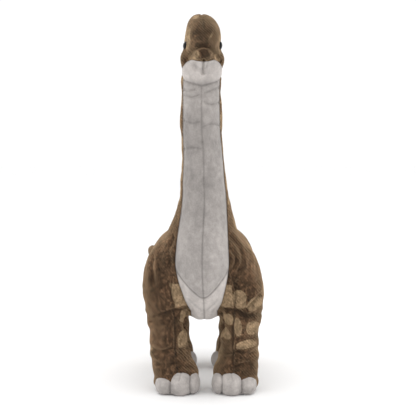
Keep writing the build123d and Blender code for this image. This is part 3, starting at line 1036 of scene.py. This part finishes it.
def place(piece, look, slot, nodes, follows, fill=None):
    piece.data.materials.clear()
    piece.data.materials.append(look)
    if isinstance(follows, str):
        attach(piece, follows)
    else:
        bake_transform(piece)
    if nodes:
        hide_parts(*nodes)


cloth = stuffedBody()
print("the cloth has", len(cloth["total"]), "faces")
for index, (name, tint, nodes, follows) in enumerate(panelList):
    chosen = np.nonzero(cloth["index"] == index)[0]
    made = panel(name, chosen, cloth)
    place(made, looks[tint], tint + "_plush", nodes, follows, 0.8)
    print(name, len(chosen))


# toes, soles, eyes and label
toe = {  # outwards from the leg's middle, y from it, z, half sizes
    "lobes": [(-17.6, -9, 11, 9.8, 19, 13.6), (-4.4, -14, 11.6, 14.6, 21.5, 16), (13.2, -10.5, 9.8, 11.9, 20, 12.6)],
    "parts": (-15.6, 7.2), "dart": -4, "rearHeight": 0.82, "square": 0.98,
    "voxel": 1.5, "foot": {"front": (33.6, -126), "rear": (36, 13)},
    "frontShift": 2.3,  # to the toy's left, as the front legs stand
}
pad = {"size": (21.5, 24, 1.9), "back": 2, "flat": 1.8, "seam": 0.93}


def toes(leg, side, middle):
    bm = bmesh.new()
    lift = 1 if leg.startswith("front") else toe["rearHeight"]
    for out, y, z, wide, deep, tall in toe["lobes"]:
        blob(bm, (side * out, y, z * lift), (wide, deep, tall * lift), toe["square"])
    mesh = finished(solidObject("toes", bm), fused(toe["voxel"]))
    setPoints(mesh, relax(points(mesh), edgesOf(mesh), 9))
    mesh = subdivided(mesh, 1)
    p, n = points(mesh), normalsOf(mesh)
    out = side * p[:, 0]
    between = np.minimum(np.abs(out - toe["parts"][0]), np.abs(out - toe["parts"][1]))
    dart = np.abs(out - toe["dart"] + 0.3 * (p[:, 2] - 22)) + 30 * ease(18, 14, p[:, 2])
    depth = 1.2 * near(between, 1.0) + 0.5 * near(dart, 0.8)
    depth += 0.25 * cloud(p, 5, 51) + 0.1 * cloud(p, 1.8, 52)
    p = p - n * depth[:, None]
    p = p + (middle[0], middle[1], 0)
    p[:, 2] = np.maximum(p[:, 2], 0.4)
    p[:, 0] += toe["frontShift"] if leg.startswith("front") else 0
    # painted shade between the toes and painted light on their tops, over random tone
    shade = 0.35 * cloud(p, 6, 53) + 0.3 * cloud(p, 2.5, 54) - 0.25 * near(between, 2.5) + 0.35 * ease(6, 20, p[:, 2])
    # painted shade in the partings between the toes and along the dart
    marks = {"paintedCreaseShade": np.clip(near(between, 0.9) + 0.7 * near(dart, 0.7), 0, 1), "napAndPaintedLight": shade}
    return fromMesh(leg + "_toes_plush", mesh, p, marks)


def sole(leg, middle):
    (x, y), (wide, deep, tall) = middle, pad["size"]
    bm = bmesh.new()
    blob(bm, (x, y - pad["back"], tall), pad["size"])
    mesh = finished(solidObject("sole", bm), rounded(1))
    p = points(mesh)
    p[:, 2] = tall + np.sign(p[:, 2] - tall) * pad["flat"] * (np.abs(p[:, 2] - tall) / tall) ** 0.5
    edge = np.hypot((p[:, 0] - x) / wide, (p[:, 1] - y + pad["back"]) / deep)
    # painted shade along the sole's seam
    return fromMesh(leg + "_sole_plush", mesh, p, {"paintedCreaseShade": near(edge - pad["seam"], 0.05)})


for end, (x, y) in toe["foot"].items():
    for side, sign in (("left", 1), ("right", -1)):
        leg = end + "_" + side
        made = toes(leg, sign, (sign * x, y))
        place(made, looks["grey"], "grey_plush", [leg + "_toes"], leg + "_leg", 0.9)
        made = sole(leg, (sign * x + (toe["frontShift"] if end == "front" else 0), y))
        place(made, looks["grey"], "grey_plush", [leg + "_sole"], leg + "_leg", 0.3)

eye = {"spot": (20, -149.5, 396), "radius": 4.5, "proud": 2.5}


def eyeDome(side):
    spot = np.array(eye["spot"]) * (side, 1, 1)
    nearest = np.argmin(np.linalg.norm(cloth["unleaned"] - spot, axis=1))
    around = np.linalg.norm(cloth["unleaned"] - cloth["unleaned"][nearest], axis=1) < 5
    middle, way = cloth["p"][around].mean(0), Vector(cloth["normal"][around].mean(0)).normalized()
    bm = bmesh.new()
    blob(bm, (0, 0, 0), (eye["radius"], eye["radius"], eye["proud"]))
    bmesh.ops.rotate(bm, verts=bm.verts, matrix=way.to_track_quat("Z", "Y").to_matrix())
    bmesh.ops.translate(bm, verts=bm.verts, vec=Vector(middle) + way * 0.5)
    mesh = finished(solidObject("eye", bm), rounded(1))
    return fromMesh("eye_dome_" + ("left" if side > 0 else "right"), mesh, points(mesh))


for side, sign in (("left", 1), ("right", -1)):
    place(eyeDome(sign), looks["eye"], "eye", ["eye_" + side], "head")
    washer = bpy.data.objects["eye_washer_" + side]
    washer.data.materials.clear()
    washer.data.materials.append(looks["washer"])


def labelTag():
    low, high = (np.array(corner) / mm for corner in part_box("care_label"))
    middle, size = (low + high) / 2, high - low
    rows, columns = 14, 10
    u, v = np.meshgrid(np.linspace(-1, 1, columns), np.linspace(0, 1, rows))
    u, v = u.ravel(), v.ravel()
    x = middle[0] + u * size[0] * 0.5
    z = high[2] - v * size[2]
    y = middle[1] + 0.9 * np.sin(v * 2.6) + 0.5 * u * v
    grid = np.arange(rows * columns).reshape(rows, columns)
    faces = np.stack([grid[:-1, :-1], grid[1:, :-1], grid[1:, 1:], grid[:-1, 1:]], -1).reshape(-1, 4)
    made = objectFrom("label_tag", np.stack((x, y, z), 1), faces.ravel(), np.full(len(faces), 4))
    mesh = finished(made, ("SOLIDIFY", {"thickness": 0.0006, "offset": 0}), rounded(1))
    made = bpy.data.objects.new("label_tag", mesh)
    scene.collection.objects.link(made)
    return made


place(labelTag(), looks["label"], "label", ["care_label"], "trunk")
print("toes, soles, eyes and label are on")


# stitches, by geometry nodes
stitch = {"Gap": 3.4, "Length": 2.1, "Thickness": 0.45}  # named as the tree's inputs are


def stitchTree():
    tree = bpy.data.node_groups.new("stitches", "GeometryNodeTree")
    face = tree.interface
    face.new_socket("Geometry", in_out="INPUT", socket_type="NodeSocketGeometry")
    for name in ("Gap", "Length", "Thickness"):
        face.new_socket(name, in_out="INPUT", socket_type="NodeSocketFloat")
    face.new_socket("Thread", in_out="INPUT", socket_type="NodeSocketMaterial")
    face.new_socket("Geometry", in_out="OUTPUT", socket_type="NodeSocketGeometry")

    def node(kind, settings=None, **inputs):
        made = tree.nodes.new(kind)
        for key, value in (settings or {}).items():
            setattr(made, key, value)
        for key, value in inputs.items():
            socket = made.inputs[key.replace("_", " ")]
            if isinstance(value, bpy.types.NodeSocket):
                tree.links.new(value, socket)
            else:
                socket.default_value = value
        return made

    given = node("NodeGroupInput").outputs
    line = node("GeometryNodeMeshToCurve", Mesh=given["Geometry"])
    evenly = node("GeometryNodeResampleCurve", {"mode": "LENGTH"}, Curve=line.outputs[0], Length=given["Gap"])
    bead = node("GeometryNodeMeshUVSphere", Segments=6, Rings=4, Radius=0.5)
    size = node("ShaderNodeCombineXYZ", X=given["Thickness"], Y=given["Thickness"], Z=given["Length"])
    tangent = node("GeometryNodeInputTangent")
    aim = node("FunctionNodeAlignRotationToVector", {"axis": "Z"}, Vector=tangent.outputs[0])
    placed = node(
        "GeometryNodeInstanceOnPoints", Points=evenly.outputs[0], Instance=bead.outputs[0],
        Rotation=aim.outputs[0], Scale=size.outputs[0],
    )
    real = node("GeometryNodeRealizeInstances", Geometry=placed.outputs[0])
    dyed = node("GeometryNodeSetMaterial", Geometry=real.outputs[0], Material=given["Thread"])
    tree.links.new(dyed.outputs[0], node("NodeGroupOutput").inputs[0])
    return tree


stitches = stitchTree()


def stitchLine(name, edges, look, slot, follows):
    # edges of the cloth, raised a little so that the thread shows
    used, edges = np.unique(edges, return_inverse=True)
    edges = edges.reshape(-1, 2)
    p = (cloth["p"][used] + cloth["normal"][used] * 0.1) * mm
    mesh = bpy.data.meshes.new(name)
    mesh.from_pydata(p.tolist(), edges.tolist(), [])
    line = bpy.data.objects.new(name + "_line", mesh)
    scene.collection.objects.link(line)
    modifier = line.modifiers.new("stitches", "NODES")
    modifier.node_group = stitches
    values = {key: size * mm for key, size in stitch.items()}
    values["Thread"] = look
    for item in stitches.interface.items_tree:
        if item.in_out == "INPUT" and item.name in values:
            modifier[item.identifier] = values[item.name]
    mesh = finished(line)
    mesh.shade_smooth()
    made = bpy.data.objects.new(name, mesh)
    scene.collection.objects.link(made)
    place(made, look, slot, [], follows)


def borderEdges(onePanel, otherPanel):
    # edges that part two panels, given by their places in panelList
    start, total, corner = cloth["start"], cloth["total"], cloth["corner"]
    face = np.repeat(np.arange(len(total)), total)
    following = np.arange(1, len(corner) + 1)
    following[start + total - 1] = start
    a, b = corner, corner[following]
    key = np.minimum(a, b).astype(np.int64) * len(cloth["p"]) + np.maximum(a, b)
    order = np.argsort(key, kind="stable")
    same = key[order][1:] == key[order][:-1]
    first, second = order[:-1][same], order[1:][same]
    one, other = cloth["index"][face[first]], cloth["index"][face[second]]
    good = ((one == onePanel) & (other == otherPanel)) | ((other == onePanel) & (one == otherPanel))
    return np.stack([a[first[good]], b[first[good]]], 1)


stitchLine("belly_stitches", borderEdges(2, 3), looks["greyThread"], "grey_plush", "trunk")
stitchLine("throat_stitches_low", borderEdges(6, 7), looks["greyThread"], "grey_plush", trunkBlend)
stitchLine("throat_stitches_high", borderEdges(10, 11), looks["greyThread"], "grey_plush", headBlend)
stitchLine("back_stitches", borderEdges(0, 1), looks["darkThread"], "brown_plush", "trunk")
for number, (end, side) in enumerate((e, s) for e in ("front", "rear") for s in sides):
    edges = borderEdges(18 + 2 * number, 19 + 2 * number)
    leg = end + "_" + side
    stitchLine(leg + "_stitches", edges, looks["darkThread"], "brown_plush", legBlend(leg))
print("the seams are stitched")

bm = bmesh.new()
bmesh.ops.create_grid(bm, x_segments=2, y_segments=2, size=6)
ground = solidObject("ground", bm)
ground.data.materials.append(floorPaper())
scene.view_settings.view_transform = "Standard"
